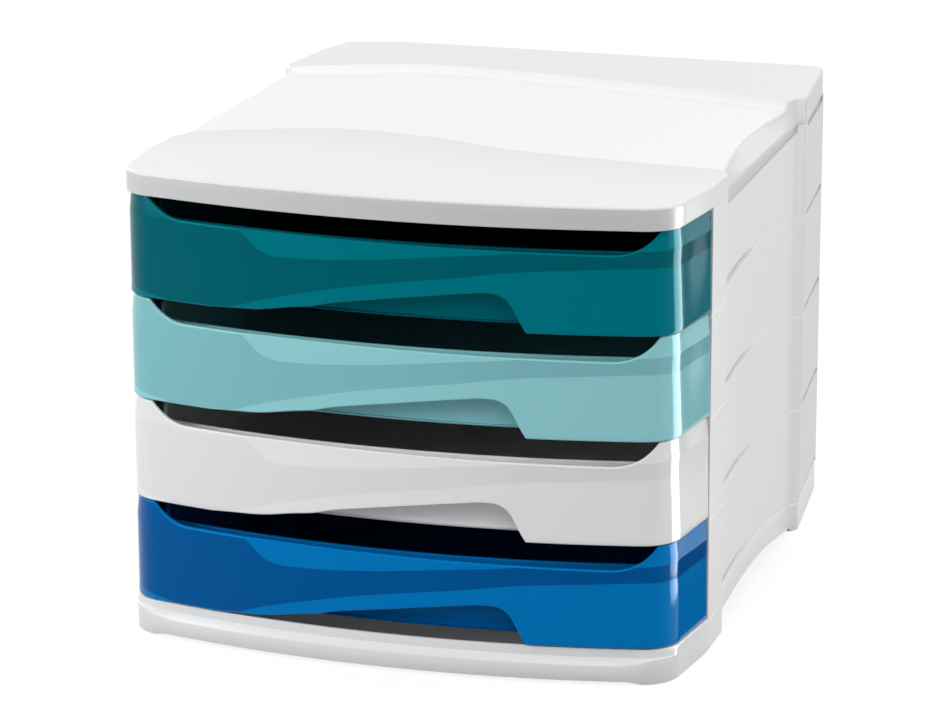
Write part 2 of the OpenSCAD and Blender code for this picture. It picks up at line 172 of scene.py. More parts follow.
HOUSING = polystyrene("white_polystyrene_satin", "#D8D8D8", "#F3F3F3", 0.30)
FRONT_PLASTICS = {
    1: polystyrene("teal_polystyrene_gloss", "#005F6D", "#007A89", 0.10, 0.22, "#00E0F0"),
    2: polystyrene("aqua_polystyrene_gloss", "#88CAD1", "#9CDDE2", 0.10, 0.3, "#B0F0FF"),
    3: polystyrene("white_polystyrene_gloss", "#F6F6F6", "#FBFBFB", 0.12, 0.4),
    4: polystyrene("blue_polystyrene_gloss", "#005AA2", "#0080CC", 0.10, 0.22, "#38B0FF"),
}
print("plastics:", [m.name for m in FRONT_PLASTICS.values()])


# %% Rubber
GRAIN_MM = 0.7
GRAIN_DEPTH_MM = 0.05


def pad_rubber():
    """Dark matt rubber of the pads, cut from sheet, with a fine grain."""
    material = new_material("black_sheet_rubber")
    tree = material.node_tree
    grain = noise(tree, GRAIN_MM, 2.0, 0.5)
    tone = add_node(tree, "ShaderNodeMix", {"data_type": "RGBA"}, i0=grain,
                    i6=linear("#2C2C2E"), i7=linear("#3A3A3C"))
    bump = add_node(tree, "ShaderNodeBump", Strength=0.5, Distance=GRAIN_DEPTH_MM * MM,
                    Height=grain)
    rubber = add_node(tree, "ShaderNodeBsdfPrincipled", Base_Color=tone.outputs[2],
                      Roughness=0.75, IOR=1.5, Normal=bump.outputs[0])
    add_node(tree, "ShaderNodeOutputMaterial", Surface=rubber.outputs[0])
    return material


RUBBER = pad_rubber()

# %% [markdown]
# ## Sizes
# These are the sizes of the CAD model in millimetres, and the plan that all the outer walls
# share: a shallow bow across the front, a tight corner on each side, and a straight return
# that flares out a little until it reaches the full width.

# %% Sizes of the tower
HALF_W = 144.0
FRONT_Y = -172.0
REAR_Y = 175.0
BOW = 20.0
CORNER_R = 20.5
FLARE = math.radians(7)
RETURN_END = FRONT_Y + 68
COLUMN_START = RETURN_END + 0.8
COLUMN_END = COLUMN_START + 31
PANEL_X = 140.5
PANEL_START = COLUMN_END + 4.5
PANEL_END = 91.5
REAR_COLUMN = 96.0
TAPER = 8.0
WALL = 2.4
PITCH = 51.7
FRONT_H = 51.0
DRAWER_Z = {n: 18.1 + (4 - n) * PITCH for n in (1, 2, 3, 4)}
SEAT_DROP = 2.3
LEVEL_Z = {n: z - SEAT_DROP for n, z in DRAWER_Z.items()}
FASCIA_Z = 224.5
ROOF_SEAT_Z = 222.6

# %% The plan of the tower
BOW_R = (HALF_W ** 2 + BOW ** 2) / (2 * BOW)
BOW_CY = FRONT_Y + BOW_R


def corner_centre():
    """Centre of the corner arc, CORNER_R inside both the bow and the flared return."""
    x = HALF_W - CORNER_R * math.cos(FLARE)
    y = RETURN_END + CORNER_R * math.sin(FLARE) - BOW_CY
    reach = x * math.sin(FLARE) + y * math.cos(FLARE)
    run = reach + math.sqrt(reach ** 2 - x * x - y * y + (BOW_R - CORNER_R) ** 2)
    return x - run * math.sin(FLARE), BOW_CY + y - run * math.cos(FLARE)


CORNER_CX, CORNER_CY = corner_centre()
BOW_END = math.asin(CORNER_CX / (BOW_R - CORNER_R))


def front_plan(inset=0.0, back=0.0):
    """Half of the front's plan, from its middle to the right return's end, as x, y points."""
    bow = [((BOW_R - inset) * math.sin(a), BOW_CY - (BOW_R - inset) * math.cos(a) + back)
           for a in np.linspace(0, BOW_END, 60)]
    corner = [(CORNER_CX + (CORNER_R - inset) * math.sin(a),
               CORNER_CY - (CORNER_R - inset) * math.cos(a) + back)
              for a in np.linspace(BOW_END, math.pi / 2 - FLARE, 40)[1:]]
    end = (HALF_W - inset, RETURN_END + inset * math.tan(FLARE / 2) + back)
    return bow + corner + [end]


def rounded(points, radius, steps=7):
    """The line through points with each inner corner drawn as an arc of that radius."""
    points = [np.array(p, float) for p in points]
    line = [points[0]]
    for before, corner, after in zip(points, points[1:], points[2:]):
        lengths_here = np.linalg.norm(before - corner), np.linalg.norm(after - corner)
        u, w = (before - corner) / lengths_here[0], (after - corner) / lengths_here[1]
        half = math.acos(max(-1, min(1, u @ w))) / 2
        reach = min(radius / math.tan(half), 0.49 * min(lengths_here))
        for t in np.linspace(0, 1, steps):
            line.append((1 - t) ** 2 * (corner + u * reach) + 2 * t * (1 - t) * corner
                        + t ** 2 * (corner + w * reach))
    line.append(points[-1])
    return [tuple(p) for p in line]


def mirrored(half):
    """A whole plan, from its left end to its right end, of a half that starts at x = 0."""
    return [(-x, y) for x, y in half[::-1]] + half[1:]


def lengths(points):
    """Length along a line at each of its points."""
    steps = np.linalg.norm(np.diff(np.array(points), axis=0), axis=1)
    return np.concatenate([[0], np.cumsum(steps)])


def walk(line):
    """The place x, y at a length s from the middle of a line, and depth inside it."""
    at = lengths(line) - lengths(line)[-1] / 2
    xs, ys = zip(*line)

    def place(s, depth=0.0):
        before, after = [(np.interp(t, at, xs), np.interp(t, at, ys))
                         for t in (s - 0.4, s + 0.4)]
        step = np.subtract(after, before)
        inward = np.array([-step[1], step[0]]) / max(np.linalg.norm(step), 1e-9)
        return np.array([np.interp(s, at, xs), np.interp(s, at, ys)]) + inward * depth
    return place


front_line = mirrored(front_plan())
FRONT_HALF = lengths(front_line)[-1] / 2
print("a drawer front is", round(2 * FRONT_HALF, 1), "mm long round its corners")

# %% [markdown]
# ## Wrapping a wall round its plan
# All the outer walls follow one rule: a cross-section runs along a line in the plan. So each
# wall is first made flat, as a blank whose X is the place along the line, Y the depth
# behind the face and Z the height. One Geometry Nodes tree then bends the blank round
# the plan: it samples the plan curve at X and moves the point inwards by Y.

# %% The wrapping tree
def wrap_tree():
    """Geometry Nodes: bend a flat blank round a plan curve."""
    tree = bpy.data.node_groups.new("wrap_round_plan", "GeometryNodeTree")
    face = tree.interface
    face.new_socket("Geometry", in_out="INPUT", socket_type="NodeSocketGeometry")
    for name, kind in (("Plan", "NodeSocketObject"), ("Middle", "NodeSocketFloat"),
                       ("Level height", "NodeSocketFloat"),
                       ("Material", "NodeSocketMaterial")):
        face.new_socket(name, in_out="INPUT", socket_type=kind)
    face.new_socket("Geometry", in_out="OUTPUT", socket_type="NodeSocketGeometry")
    given = add_node(tree, "NodeGroupInput").outputs
    plan = add_node(tree, "GeometryNodeObjectInfo", Object=given["Plan"])
    flat = add_node(tree, "ShaderNodeSeparateXYZ",
                    Vector=add_node(tree, "GeometryNodeInputPosition").outputs[0])
    along = maths(tree, "ADD", flat.outputs[0], given["Middle"])
    sample = add_node(tree, "GeometryNodeSampleCurve",
                      {"mode": "LENGTH", "use_all_curves": True},
                      Curves=plan.outputs["Geometry"], Length=along)
    inward = maths(tree, "CROSS_PRODUCT", (0.0, 0.0, 1.0), sample.outputs["Tangent"],
                   kind="VectorMath")
    unit = maths(tree, "NORMALIZE", inward, kind="VectorMath")
    depth = add_node(tree, "ShaderNodeVectorMath", {"operation": "SCALE"}, i0=unit,
                     Scale=flat.outputs[1])
    height = maths(tree, "ADD", flat.outputs[2], given["Level height"])
    lift = add_node(tree, "ShaderNodeCombineXYZ", Z=height)
    bent = maths(tree, "ADD", sample.outputs["Position"], depth.outputs[0],
                 kind="VectorMath")
    placed = maths(tree, "ADD", bent, lift.outputs[0], kind="VectorMath")
    moved = add_node(tree, "GeometryNodeSetPosition", Geometry=given["Geometry"],
                     Position=placed)
    real = add_node(tree, "GeometryNodeRealizeInstances", Geometry=moved.outputs[0])
    coated = add_node(tree, "GeometryNodeSetMaterial", Geometry=real.outputs[0],
                      Material=given["Material"])
    add_node(tree, "NodeGroupOutput", Geometry=coated.outputs[0])
    return tree


WRAP = wrap_tree()


def plan_curve(name, points):
    """A poly curve through the plan's points, for the tree to sample."""
    curve = bpy.data.curves.new(name, "CURVE")
    curve.dimensions = "3D"
    spline = curve.splines.new("POLY")
    spline.points.add(len(points) - 1)
    for point, (x, y) in zip(spline.points, points):
        point.co = (x * MM, y * MM, 0, 1)
    return new_object(name, curve)


def set_input(modifier, name, value):
    """Set a Geometry Nodes input by its socket's identifier."""
    for item in modifier.node_group.interface.items_tree:
        if item.item_type == "SOCKET" and item.in_out == "INPUT" and item.name == name:
            modifier[item.identifier] = value


def new_object(name, data):
    """Link a new object that shows data."""
    piece = bpy.data.objects.new(name, data)
    bpy.context.collection.objects.link(piece)
    return piece


# %% Working on a mesh
SHARP_ANGLE = math.radians(38)
WELD = 0.002 * MM


def rework(piece, change=None):
    """Let change(bm) work on a piece's mesh, then weld it, face it outwards and smooth it."""
    bm = bmesh.new()
    bm.from_mesh(piece.data)
    if change:
        change(bm)
    bmesh.ops.remove_doubles(bm, verts=bm.verts, dist=WELD)
    bmesh.ops.recalc_face_normals(bm, faces=bm.faces)
    for face in bm.faces:
        face.smooth = True
    for edge in bm.edges:
        edge.smooth = len(edge.link_faces) != 2 or edge.calc_face_angle(0) < SHARP_ANGLE
    bm.to_mesh(piece.data)
    bm.free()


def wrap(name, blank, plan_points, material, level=0.0, middle=None, change=None):
    """Bend a blank round a plan and return the plain mesh object."""
    piece = new_object(name, blank)
    plan = plan_curve(name + "_plan", plan_points)
    modifier = piece.modifiers.new("wrap", "NODES")
    modifier.node_group = WRAP
    if middle is None:
        middle = lengths(plan_points)[-1] / 2
    for key, value in (("Plan", plan), ("Middle", middle * MM),
                       ("Level height", level * MM), ("Material", material)):
        set_input(modifier, key, value)
    bpy.context.view_layer.update()
    graph = bpy.context.evaluated_depsgraph_get()
    baked = bpy.data.meshes.new_from_object(piece.evaluated_get(graph))
    piece.modifiers.clear()
    piece.data = baked
    bpy.data.objects.remove(plan)
    baked.materials.clear()
    baked.materials.append(material)
    rework(piece, change)
    return piece


def prism(bm, outline, low, high):
    """A closed upright prism over an outline in the plan, all in mm."""
    foot = [bm.verts.new((x * MM, y * MM, low * MM)) for x, y in outline]
    head = [bm.verts.new((x * MM, y * MM, high * MM)) for x, y in outline]
    bm.faces.new(foot[::-1])
    bm.faces.new(head)
    for a, b, c, d in zip(foot, foot[1:] + foot[:1], head[1:] + head[:1], head):
        bm.faces.new((a, b, c, d))


def rectangle(x0, x1, y0, y1):
    """Outline of a rectangle in the plan."""
    return [(x0, y0), (x1, y0), (x1, y1), (x0, y1)]


def built(name, build):
    """A piece of the housing whose mesh is put together by build(bm)."""
    # Its faces carry no facet tone, so they take the housing's darker painted shade colour.
    piece = new_object(name, bpy.data.meshes.new(name))
    piece.data.materials.append(HOUSING)
    rework(piece, build)
    return piece


# %% Lofting a blank
def loft(name, columns, profile, ring=False, capped=True):
    """A flat blank: the cross-section profile(s) set up at every column s.

    profile returns a list of (depth, height, facet) in order round the section. Depth and
    height are in mm, and facet is the painted shade or highlight tone of the face from that
    row to the next, from 0 dark to 1 pale. A ring's section stays open, and its two rows of
    open edges are filled after bending. A closed section without caps is for a blank whose
    two ends meet once it is bent."""
    bm = bmesh.new()
    layer = bm.faces.layers.float.new("facet")
    sections = [profile(s) for s in columns]
    rows = [[bm.verts.new((s * MM, d * MM, z * MM)) for d, z, facet in section]
            for s, section in zip(columns, sections)]
    count = len(sections[0])
    for left, right, section in zip(rows, rows[1:], sections[1:]):
        for j in range(count - 1 if ring else count):
            k = (j + 1) % count
            face = bm.faces.new((left[j], right[j], right[k], left[k]))
            face[layer] = section[j][2]
    if capped and not ring:
        bm.faces.new(rows[0])
        bm.faces.new(rows[-1][::-1])
    bmesh.ops.dissolve_degenerate(bm, edges=bm.edges, dist=WELD)
    mesh = bpy.data.meshes.new(name)
    bm.to_mesh(mesh)
    bm.free()
    return mesh


def stations(low, high, step, zones):
    """Places from low to high, step apart, but closer in each zone of (start, end, step)."""
    places = set(np.linspace(low, high, round((high - low) / step) + 1).round(3))
    for start, end, fine in zones:
        places = {p for p in places if not start - fine / 2 < p < end + fine / 2}
        places |= set(np.linspace(start, end, round((end - start) / fine) + 1).round(3))
    return sorted(places)


def ease(t):
    """Smooth step from 0 to 1."""
    t = max(0.0, min(1.0, t))
    return t * t * (3 - 2 * t)


def arc(corner, start, end, facet=0.5, steps=4):
    """A quarter round at a section's corner, between two offsets from the corner."""
    turn = [(1 - math.sin(a), 1 - math.cos(a)) for a in np.linspace(0, math.pi / 2, steps + 1)]
    return [(corner[0] + start[0] * s + end[0] * e, corner[1] + start[1] * s + end[1] * e,
             facet) for s, e in turn]


# %% [markdown]
# ## Drawer fronts
# A front is one moulding, 51 mm high, that wraps round both corners. Its top edge dips in
# the middle so that the contents show, and its lower edge has a long wave for the fingers.
# Two soft creases divide the face: a wedge leans back under the dip, and a broad lower
# facet comes forward and runs on round the right corner. The wedge and the lower facet are
# painted in the paler tone and the band between them in the darker one. This is a painted
# highlight and painted shade for how the real facets catch the light. The section is worked
# out from a few curves across the front, column by column, so the creases follow rows of
# the mesh.

# %% The curves of a front
DIP_LEFT = (-126.0, -105.0, 10.0)
DIP_RIGHT = (135.0, 110.0, 12.0)
DIP_POWER = 2.2
CORNER_FACET = (-112, 62, 8.5)
WAVE = [(-92, 0), (-77, 0.9), (-68, 1.3), (-60, 2.2), (-47, 4.4), (-37, 5.7), (-25, 8.5),
        (-12, 10.6), (13, 14.2), (38, 17.4), (49, 18.5), (54, 18.4), (60, 16.2), (63.3, 12.3),
        (66.8, 5.5), (70, 0)]
LOWER_CREASE = [(-85, 0), (-79, 1.5), (-61, 7), (-41, 12), (-13, 18), (12, 22), (38, 25.5),
                (62, 29), (99, 31.5), (129, 32.8), (152, 32.2), (190, 32.5)]
UPPER_CREASE = [(-76, 41), (-71, 38), (-66, 33.3), (-61, 30.3), (-53, 28.8), (-41, 29),
                (-11, 31), (30, 35.3), (72, 39.5), (80, 41)]


def curve_at(points, s):
    """Height of a curve given by points, at s, drawn smoothly through them."""
    xs, ys = zip(*points)
    if s <= xs[0] or s >= xs[-1]:
        return ys[0] if s <= xs[0] else ys[-1]
    i = max(j for j in range(len(xs) - 1) if xs[j] <= s)
    rise = [(ys[j + 1] - ys[j]) / (xs[j + 1] - xs[j]) for j in range(len(xs) - 1)]
    slope = [rise[0]] + [0.0 if a * b <= 0 else 2 * a * b / (a + b)
                         for a, b in zip(rise, rise[1:])] + [rise[-1]]
    h = xs[i + 1] - xs[i]
    t = (s - xs[i]) / h
    return (ys[i] * (1 + 2 * t) * (1 - t) ** 2 + slope[i] * h * t * (1 - t) ** 2
            + ys[i + 1] * t * t * (3 - 2 * t) + slope[i + 1] * h * t * t * (t - 1))


def top_edge(s):
    """Height of the top edge: steep at each shoulder, and easing into the sloping dip."""
    start, end, depth = DIP_LEFT if s < 0 else DIP_RIGHT
    if DIP_LEFT[1] < s < DIP_RIGHT[1]:
        t = (s - DIP_LEFT[1]) / (DIP_RIGHT[1] - DIP_LEFT[1])
        return FRONT_H - DIP_LEFT[2] - (DIP_RIGHT[2] - DIP_LEFT[2]) * t
    t = max(0.0, min(1.0, (s - start) / (end - start)))
    return FRONT_H - depth * (1 - (1 - t) ** DIP_POWER)


def corner_facet(s):
    """Height of the small facet at the foot of the left end."""
    start, length, high = CORNER_FACET
    return high * max(0.0, min(1.0, (start - s) / length)) ** 0.8


# %% The section of a front
FRONT_T = 2.6
RIM_R = 0.8
RELIEF = 1.3
END_R = 1.1
SHOULDER_R = 3.0
BAND_ROWS = (0.0, 0.06, 0.5, 0.94)


def bulge(radius, inside):
    """How far a rounded end of that radius has drawn in, a distance inside its tip."""
    return radius - math.sqrt(max(0.0, radius ** 2 - max(0.0, radius - inside) ** 2))


def rim(low, high, low_depth, high_depth, inner, r):
    """The rounded top of a wall, and its rounded foot, as parts of its section."""
    # The top and the outer foot take the pale painted tone, and the inner foot the dark
    # painted shade.
    return (arc((high_depth, high), (0, -r), (r, 0), 1.0)
            + arc((inner, high), (-r, 0), (0, -r), 1.0)
            + arc((inner, low), (0, r), (-r, 0), 0.0)
            + arc((low_depth, low), (r, 0), (0, r), 1.0))


def front_section(s):
    """Section of a drawer front at the place s along its face."""
    to_end = FRONT_HALF - abs(s)
    pinch = bulge(END_R, to_end)
    low = curve_at(WAVE, s) + pinch
    high = top_edge(s) - pinch - bulge(SHOULDER_R, to_end)
    foot, head = low + RIM_R, high - RIM_R
    fade = ease(to_end / 30)
    first = corner_facet(s) if s < -84 else curve_at(LOWER_CREASE, s)
    first = min(max(first, foot), head)
    second = min(max(curve_at(UPPER_CREASE, s), first), head)
    sunk_first = RELIEF * min(1.0, (first - foot) / 26) * (0.35 + 0.65 * fade)
    sunk_second = sunk_first * (1 - (second - first) / max(head - first, 1) * 0.4)
    sunk_top = sunk_second + 0.09 * (head - second)
    # Painted tones: the lower facet and the wedge take the paler painted highlight, and the
    # band between them the darker painted shade.
    bands = [(foot, first, 0.0, sunk_first, 1.0),
             (first, second, sunk_first, sunk_second, 0.0),
             (second, head, sunk_second, sunk_top, 1.0 if s > UPPER_CREASE[0][0] else 0.0)]
    rows = [(pinch + d0 + (d1 - d0) * t, z0 + (z1 - z0) * t, facet)
            for z0, z1, d0, d1, facet in bands for t in BAND_ROWS]
    return rows + rim(low, high, pinch, sunk_top + pinch, FRONT_T - pinch,
                      RIM_R - pinch * 0.3)


def both_sides(zones):
    """The zones, and the same zones on the left."""
    return zones + [(-end, -start, step) for start, end, step in zones]


FRONT_COLUMNS = stations(-FRONT_HALF, FRONT_HALF, 2.2, both_sides(
    [(103, 137, 0.8), (137.5, 152, 1.2), (FRONT_HALF - 3.3, FRONT_HALF, 0.3)])
    + [(-78, -56, 0.8), (46, 72, 0.45)])
print(len(FRONT_COLUMNS), "columns along a front")

# %% Make the four fronts
CLIP_X = 96.0
CLIP_T = 2.0
CLIP_Z = (8.0, 30.0)
TRAY_SIDE = 12.5
TRAY_BACK = 4.5


def bow_y(x, inset):
    """Place y of the bow at a place x across it, drawn in by inset."""
    return BOW_CY - math.sqrt((BOW_R - inset) ** 2 - x * x)


for n in DRAWER_Z:
    def clips(bm):
        """The two ribs that hold the front on its tray."""
        for x in (-CLIP_X, CLIP_X):
            prism(bm, rectangle(x - CLIP_T / 2, x + CLIP_T / 2, bow_y(CLIP_X, FRONT_T - 0.3),
                                bow_y(CLIP_X - CLIP_T / 2, TRAY_SIDE) + TRAY_BACK),
                  DRAWER_Z[n] + CLIP_Z[0], DRAWER_Z[n] + CLIP_Z[1])

    blank = loft(f"front_blank_{n}", FRONT_COLUMNS, front_section)
    front = wrap(f"sculpted_front_{n}", blank, front_line, FRONT_PLASTICS[n],
                 level=DRAWER_Z[n], change=clips)
    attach(front, f"drawer_{n}")
    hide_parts(f"drawer_front_{n}")
    print(front.name, len(front.data.polygons), "faces")

# %% [markdown]
# ## Drawer trays
# Each tray is an open box that stands back a little from its front, which leaves room for
# the fingers behind the wave. Its wall is a ring that runs round a closed plan, with a
# rounded rim and a fillet at the floor. The ring is bent by the same tree, and then its two
# open loops are filled: one becomes the floor, the other the underside.

# %% The section of a tray
TRAY_T = 2.0
TRAY_H = 44.0
TRAY_FRONT_H = 37.0
TRAY_REAR = 168.0
TRAY_RIM = 0.8
TRAY_FOOT = 1.2
TRAY_FILLET = 3.0
LUG_HALF_W = 40.0
LUG_TOP = 48.8
STOP_Y = (-76.5, -74.5)

tray_half = front_plan(TRAY_SIDE, TRAY_BACK)
tray_line = mirrored(tray_half[:-1] + rounded(
    [tray_half[-1], (HALF_W - TRAY_SIDE, TRAY_REAR), (0, TRAY_REAR)], 5.0))
tray_place = walk(tray_line)
TRAY_HALF = lengths(tray_line)[-1] / 2


def tray_section(s):
    """Open section of a tray's wall: floor, fillet, wall, rim, wall, underside."""
    y = tray_place(s)[1]
    high = TRAY_FRONT_H + (TRAY_H - TRAY_FRONT_H) * ease((y - CORNER_CY + 3) / 8)
    return (arc((TRAY_T, TRAY_T), (TRAY_FILLET, 0), (0, TRAY_FILLET))
            + arc((TRAY_T, high), (0, -TRAY_RIM), (-TRAY_RIM, 0))
            + arc((0, high), (TRAY_RIM, 0), (0, -TRAY_RIM))
            + arc((0, 0), (0, TRAY_FOOT), (TRAY_FOOT, 0))[::-1])


def open_loops(bm):
    """The closed loops of open edges, each as its vertices in order, the highest first."""
    bmesh.ops.remove_doubles(bm, verts=bm.verts, dist=WELD)
    left = dict.fromkeys(e for e in bm.edges if len(e.link_faces) == 1)
    loops = []
    while left:
        edge = left.popitem()[0]
        loop = [edge.verts[0], edge.verts[1]]
        while True:
            following = [e for e in loop[-1].link_edges if e in left]
            if not following:
                break
            left.pop(following[0])
            loop.append(following[0].other_vert(loop[-1]))
        loops.append(loop[:-1] if loop[-1] is loop[0] else loop)
    return sorted(loops, key=lambda loop: -sum(v.co.z for v in loop) / len(loop))


# %% Make the four trays
def close_tray(bm):
    """Fill the floor and the underside, and add the lug at the rear."""
    for loop in open_loops(bm):
        bm.faces.new(loop)
    prism(bm, rectangle(-LUG_HALF_W, LUG_HALF_W, TRAY_REAR - TRAY_T, TRAY_REAR),
          TRAY_H - 1.0, LUG_TOP)


TRAY_COLUMNS = stations(-TRAY_HALF, TRAY_HALF, 8.0, both_sides(
    [(110, 136, 1.2), (TRAY_HALF - 140, TRAY_HALF - 124, 1.2)]))
for n in DRAWER_Z:
    blank = loft(f"tray_blank_{n}", TRAY_COLUMNS, tray_section, ring=True)
    tray = wrap(f"moulded_tray_{n}", blank, tray_line, FRONT_PLASTICS[n], change=close_tray)
    tray.data.transform(Matrix.Translation((0, 0, DRAWER_Z[n] * MM)))
    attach(tray, f"drawer_{n}")
    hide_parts(f"drawer_tray_{n}")
print("a tray has", len(tray.data.polygons), "faces")

# %% [markdown]
# ## Side cheeks
# A cheek is a tall thin wall with a front column, a panel that stands in a little, and a
# rear column that tapers. The seams between the levels rise in an arch across the panel.
# Just above each seam a crescent leans in, and its rows are given a painted shade that
# darkens as the crescent deepens, which makes the soft dark sickles down the side. The rear
# column's face and a band under the roof carry painted shade too. The cheek is wrapped like
# the fronts, and the left ones are the right ones' plan mirrored.

# %% The curves of a cheek
cheek_line = rounded([(HALF_W, COLUMN_START), (HALF_W, COLUMN_END), (PANEL_X, PANEL_START),
                      (PANEL_X, PANEL_END), (HALF_W, REAR_COLUMN),
                      (HALF_W - TAPER * (REAR_Y - WALL - REAR_COLUMN) / 79,
                       REAR_Y - WALL)], 6.0)
cheek_lengths = lengths(cheek_line)
cheek_ys = [p[1] for p in cheek_line]
CHEEK_LEN = cheek_lengths[-1]
SEAM_RISE = 9.2
COLUMN_T = 4.8
# Painted shade tone of the faces that look to the rear.
REAR_PAINTED_SHADE = 0.15
SCOOP_LEN = 70.0
SCOOP_H = 7.0
SCOOP_D = 1.5
GROOVE_H = 3.0
SHADE_H = (6.5, 3.0)


def along_panel(y):
    """Share of the panel's length that lies ahead of a place y."""
    return (y - PANEL_START) / (PANEL_END - PANEL_START)


def seam(y):
    """Rise of the seam above its ends."""
    t = along_panel(y)
    return SEAM_RISE * math.sin(math.pi * t) if 0 < t < 1 else 0.0


def scoop(y):
    """Height of the crescent above the seam."""
    t = (y - PANEL_START) / SCOOP_LEN
    start = ease((y - PANEL_START + 1.5) / 1.5)
    return SCOOP_H * (1 - t * t) * start if t < 1 else 0.0


def groove(y):
    """How much of the groove round the foot of the rear column shows."""
    return ease((y - REAR_COLUMN - 9) / 3)


def cheek_section(n):
    """Section of the cheek of level n, as a function of the place along it."""
    base = LEVEL_Z[n]

    def section(s):
        y = float(np.interp(s, cheek_lengths, cheek_ys))
        low = base + seam(y)
        high = base + PITCH + (seam(y) if n > 1 else 0.0)
        dark = scoop(y)
        foot = groove(y)
        notch = low + max(dark, GROOVE_H * foot, 0.5)
        sunk = SCOOP_D * max(min(1.0, dark / 2.5), foot)
        shade = (SHADE_H[0] + (SHADE_H[1] - SHADE_H[0]) * along_panel(y)
                 if PANEL_START < y < PANEL_END else GROOVE_H * foot) if n == 1 else 0.0
        under = SCOOP_D * (1.0 if shade > 0.01 else 0.0)
        inner = COLUMN_T if y < COLUMN_END - WALL else WALL
        step = 0.6 * foot + 0.08
        rows = [(sunk, low + 0.4), (sunk * (1 - 0.35 * (1 - foot)), notch - step),
                (0.0, notch), (0.0, notch + 0.6)]
        ceiling = high - 0.6 - shade
        rows += [(0.0, notch + (ceiling - notch) * t) for t in (0.2, 0.5, 0.8)]
        rows += [(0.0, ceiling), (0.0, ceiling + 0.1), (under, ceiling + 0.2),
                 (under, high - 0.35), (under + 0.3, high), (inner, high), (inner, low),
                 (sunk + 0.3, low)]
        # Painted shade: the rear column's face is given a dark tone, the crescent rows darken
        # as they deepen, and on the top level the band under the roof takes the darkest tone.
        face = REAR_PAINTED_SHADE if y > REAR_COLUMN + 1 else 1.0
        painted_tones = [1.0 - min(1.0, dark / 2.5)] * 2 + [face] * (len(rows) - 2)
        painted_tones[8:11] = [0.0 if shade > 0.01 else face] * 3
        return [(depth, z, tone) for (depth, z), tone in zip(rows, painted_tones)]
    return section


def cheek_s(y):
    """Length along a cheek at a place y."""
    return float(np.interp(y, cheek_ys, cheek_lengths))


CHEEK_COLUMNS = stations(0, CHEEK_LEN, 4.6, [
    (cheek_s(start), cheek_s(end), 0.5) for start, end in
    ((COLUMN_END - 4, PANEL_START + 4), (PANEL_END - 4, REAR_COLUMN + 4),
     (REAR_COLUMN + 8, REAR_COLUMN + 13))])

# %% Make the eight cheeks
TAB_START = COLUMN_START - 18
TAB_INSET = FRONT_T + 0.5


def return_x(y, inset):
    """Place x of the flared return at a place y, drawn in by inset."""
    return HALF_W - (RETURN_END - y) * math.tan(FLARE) - inset / math.cos(FLARE)


TAB_END = COLUMN_START + 2.0
TAB_PLAN = [(return_x(y, TAB_INSET + depth), y) for y, depth in
            ((TAB_START, WALL), (TAB_START, 0.0), (TAB_END, 0.0), (TAB_END, WALL))]

for n in DRAWER_Z:
    for side, word in ((-1, "left"), (1, "right")):
        def finish_cheek(bm):
            """Add the tab inside the front's return, and mirror a left cheek."""
            prism(bm, TAB_PLAN, LEVEL_Z[n], LEVEL_Z[n] + PITCH)
            bmesh.ops.scale(bm, vec=(side, 1, 1), verts=bm.verts)

        blank = loft(f"cheek_blank_{word}_{n}", CHEEK_COLUMNS, cheek_section(n))
        cheek = wrap(f"{word}_side_cheek_{n}", blank, cheek_line, HOUSING, middle=0.0,
                     change=finish_cheek)
        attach(cheek, "housing")
        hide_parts(f"{word}_cheek_{n}")

# %% [markdown]
# ## Roof
# The roof is one moulding: a fascia that runs all the way round, a front plateau that falls
# a little to the rear, a shallow tray between two wavy ridges, and a rear plateau. The
# fascia is a ring bent by the tree. The top is a height for every place in the plan, and
# its mesh has rows along the ridges, so that they stay crisp. Above the right panel the
# tray's edge curves inwards, and a crescent-shaped facet falls from it to the side.

# %% The heights of the roof
FRONT_RIDGE = [(-144, -66), (-107, -46), (-58, -33), (-16, -39), (27, -54), (100, -64),
               (144, -67)]
REAR_RIDGE = [(-144, 89), (-118, 102), (-69, 118), (0, 112), (84, 96), (144, 80)]
FRONT_FALL_MM = 4.5
REAR_RISE_MM = 6.0
PLATEAU_Z = 236.5
PLATEAU_DROP = 2.0
TRAY_Z = 232.8
REAR_Z = 237.5
REAR_SAG = 1.8
SAG_REACH = 16
ROOF_PROUD = 3.0
ROOF_STOP_LOW = 219.2


def roof_height(x, y):
    """Height of the roof's top at a place in the plan."""
    front = PLATEAU_Z - PLATEAU_DROP * max(0.0, min(1.0, (y - FRONT_Y) / 102))
    dished = TRAY_Z + ease((-100 - x) / 42)
    corner = math.hypot(x + HALF_W - TAPER, y - REAR_Y) / SAG_REACH
    rear = REAR_Z - REAR_SAG * math.exp(-corner * corner / 2)
    past_front = (y - curve_at(FRONT_RIDGE, x)) / FRONT_FALL_MM
    before_rear = (curve_at(REAR_RIDGE, x) - y) / REAR_RISE_MM
    for plateau, past in ((front, past_front), (rear, before_rear)):
        if past < 1:
            return plateau + (dished - plateau) * (1 - (1 - max(0.0, past)) ** 2)
    return dished


# %% The fascia of the roof
CEILING_Z = 230.4
CRESCENT_D = 7.9
CRESCENT_Y = (-68.0, 98.0)
CRESCENT_FOOT_Z = 224.7
FASCIA_LEAN = 1.5
LEAN_END = 148
ROOF_EDGE = ((-150, -100, 100, 175), (1.3, 1.8, 2.2, 2.0))


def body_line(proud):
    """The closed plan of the body, from the rear's middle round the front and back."""
    return mirrored(front_plan(back=-proud) + rounded(
        [(HALF_W, RETURN_END - proud), (HALF_W, COLUMN_END), (PANEL_X, PANEL_START),
         (PANEL_X, PANEL_END), (HALF_W, REAR_COLUMN), (HALF_W - TAPER, REAR_Y),
         (0, REAR_Y)], 6.0)[1:])


roof_line = body_line(ROOF_PROUD)
roof_place = walk(roof_line)
ROOF_HALF = lengths(roof_line)[-1] / 2


